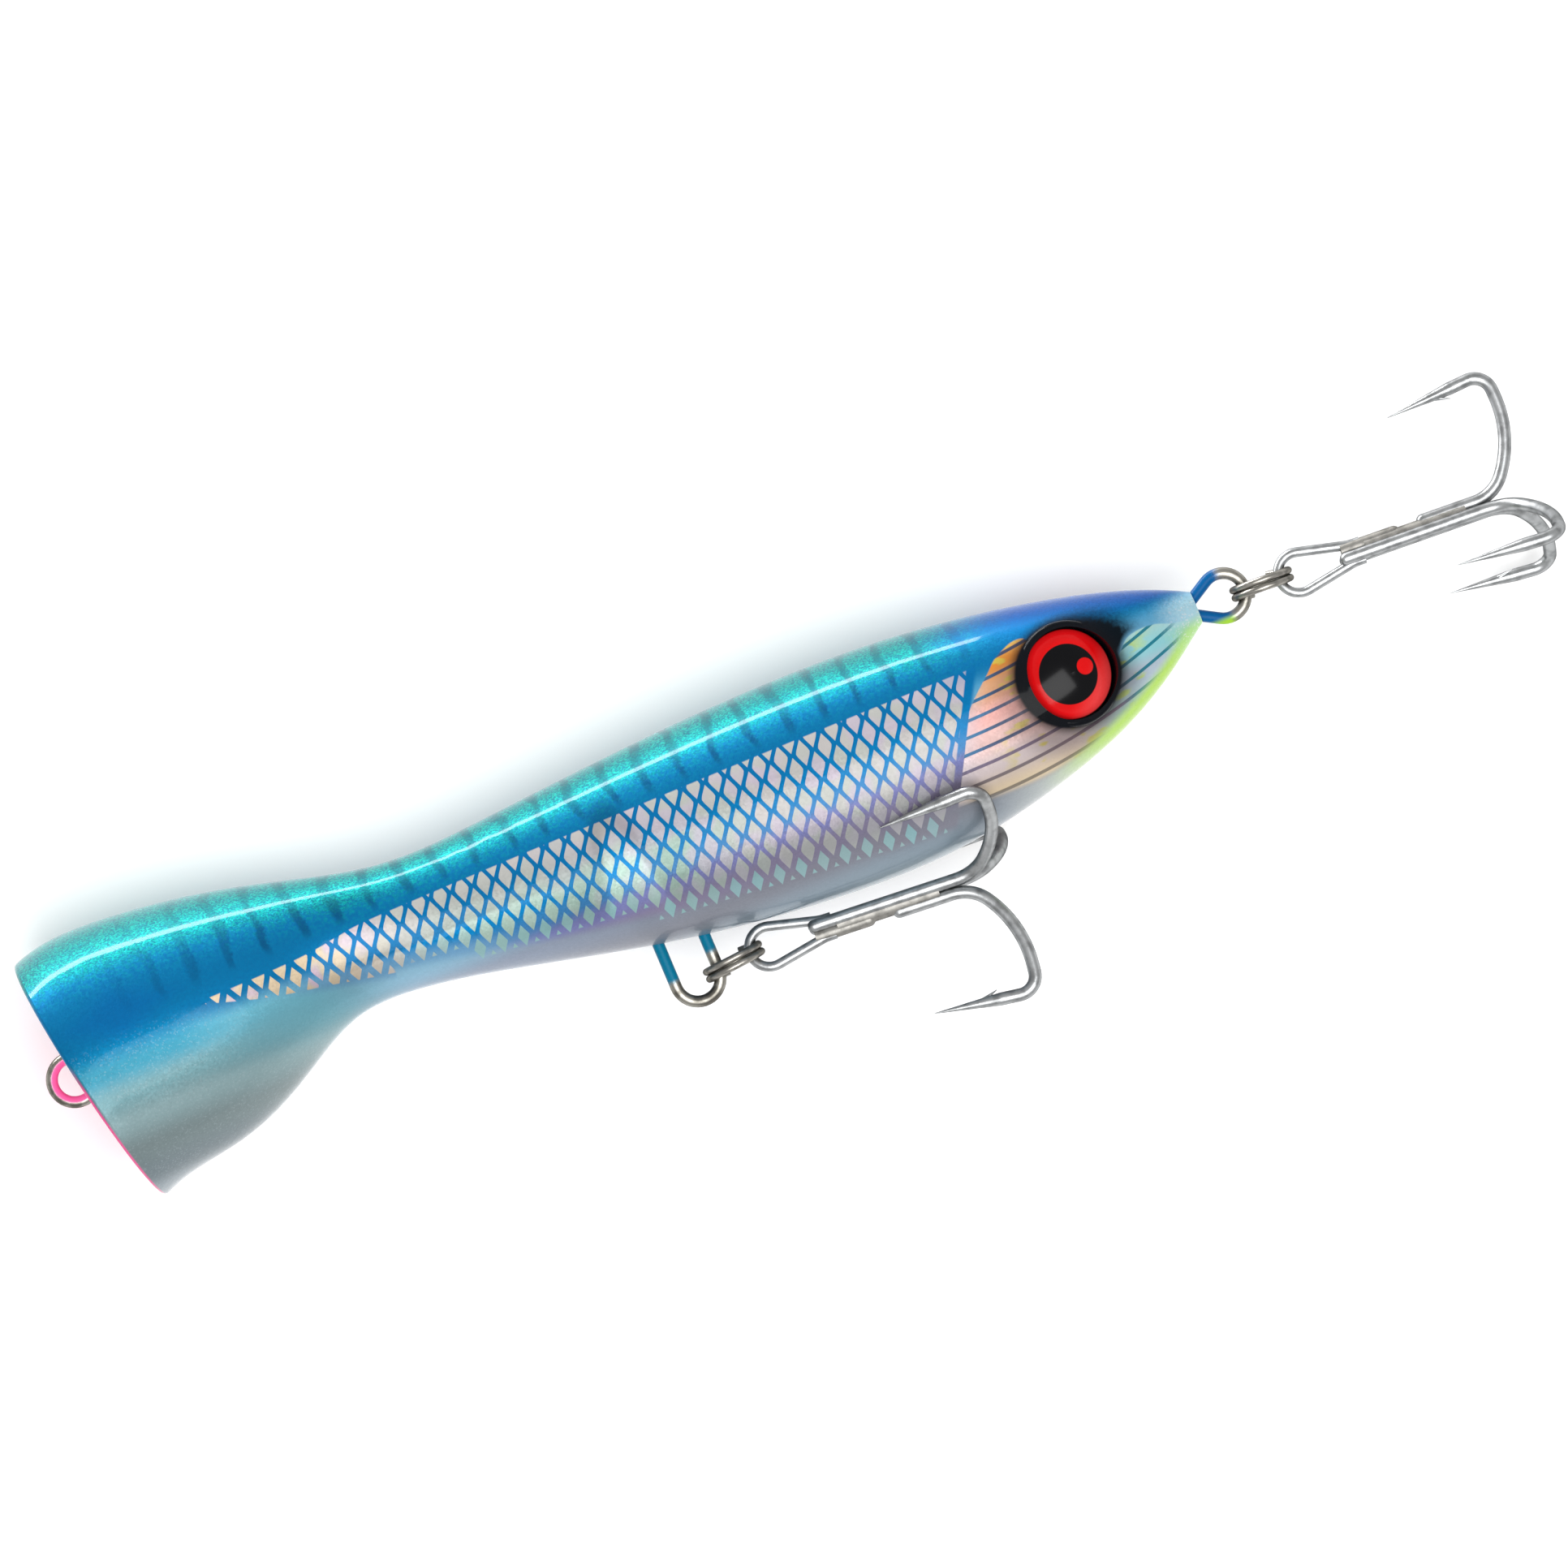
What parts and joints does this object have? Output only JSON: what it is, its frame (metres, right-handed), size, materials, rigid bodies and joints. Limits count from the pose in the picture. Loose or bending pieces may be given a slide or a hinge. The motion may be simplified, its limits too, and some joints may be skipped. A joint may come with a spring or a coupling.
{
  "type": "topwater popper lure",
  "caption": "Cup-faced hollow hard lure on a bent through-wire, with glass-look eyes, split rings and treble hooks on its belly and tail.",
  "frame": {"origin": "centre of the line-tie loop, on the plane where the two shells meet", "axes": "+X along the through-wire to the tail loop, +Y towards the lure's back, +Z out of its left side; the lure lies on its right side"},
  "size_m": [0.2133, 0.0574, 0.0352],
  "materials": {
    "shell_plastic": "moulded shell, painted and foiled under clear gloss",
    "stainless": "bright drawn stainless wire",
    "ballast": "plain steel",
    "eye_print": "printed disc, red iris and black pupil",
    "eye_clear": "clear cast resin dome",
    "hook_steel": "tinned high-carbon steel",
    "braze": "braze metal, tinned over"
  },
  "bodies": {
    "body": {"shell_left": "shell_plastic", "shell_right": "shell_plastic", "through_wire": "stainless", "belly_weight": "ballast", "tail_weight_fore": "ballast", "tail_weight_aft": "ballast", "eye_disc_left": "eye_print", "eye_disc_right": "eye_print", "eye_dome_left": "eye_clear", "eye_dome_right": "eye_clear"},
    "front_rattle": {"rattle_ball_front": "ballast"},
    "rear_rattle": {"rattle_ball_rear": "ballast"},
    "belly_ring": {"belly_split_ring": "stainless"},
    "belly_treble": {"belly_treble_double": "hook_steel", "belly_treble_single": "hook_steel", "belly_treble_braze": "braze"},
    "tail_ring": {"tail_split_ring": "stainless"},
    "tail_treble": {"tail_treble_double": "hook_steel", "tail_treble_single": "hook_steel", "tail_treble_braze": "braze"}
  },
  "joints": [
    {"name": "belly_ring_swing", "type": "hinge", "parent": "body", "child": "belly_ring", "pos_m": [0.08125, -0.0197, 0], "axis": [0, 0, 1], "range_deg": [-140, 0]},
    {"name": "belly_treble_lift", "type": "hinge", "parent": "belly_ring", "child": "belly_treble", "pos_m": [0.08657, -0.01951, 0], "axis": [0.0349, -0.9994, 0], "range_deg": [0, 9]},
    {"name": "tail_ring_swing", "type": "hinge", "parent": "body", "child": "tail_ring", "pos_m": [0.1651, 0, 0], "axis": [0, 0, 1], "range_deg": [-95, 95]},
    {"name": "tail_treble_lift", "type": "hinge", "parent": "tail_ring", "child": "tail_treble", "pos_m": [0.17039, -0.00055, 0], "axis": [-0.1028, -0.9947, 0], "range_deg": [-50, 50]},
    {"name": "front_rattle_roll", "type": "slide", "parent": "body", "child": "front_rattle", "axis": [1, 0, 0], "range_m": [-0.0109, 0.0109]},
    {"name": "rear_rattle_roll", "type": "slide", "parent": "body", "child": "rear_rattle", "axis": [1, 0, 0], "range_m": [-0.0062, 0.0062]}
  ]
}
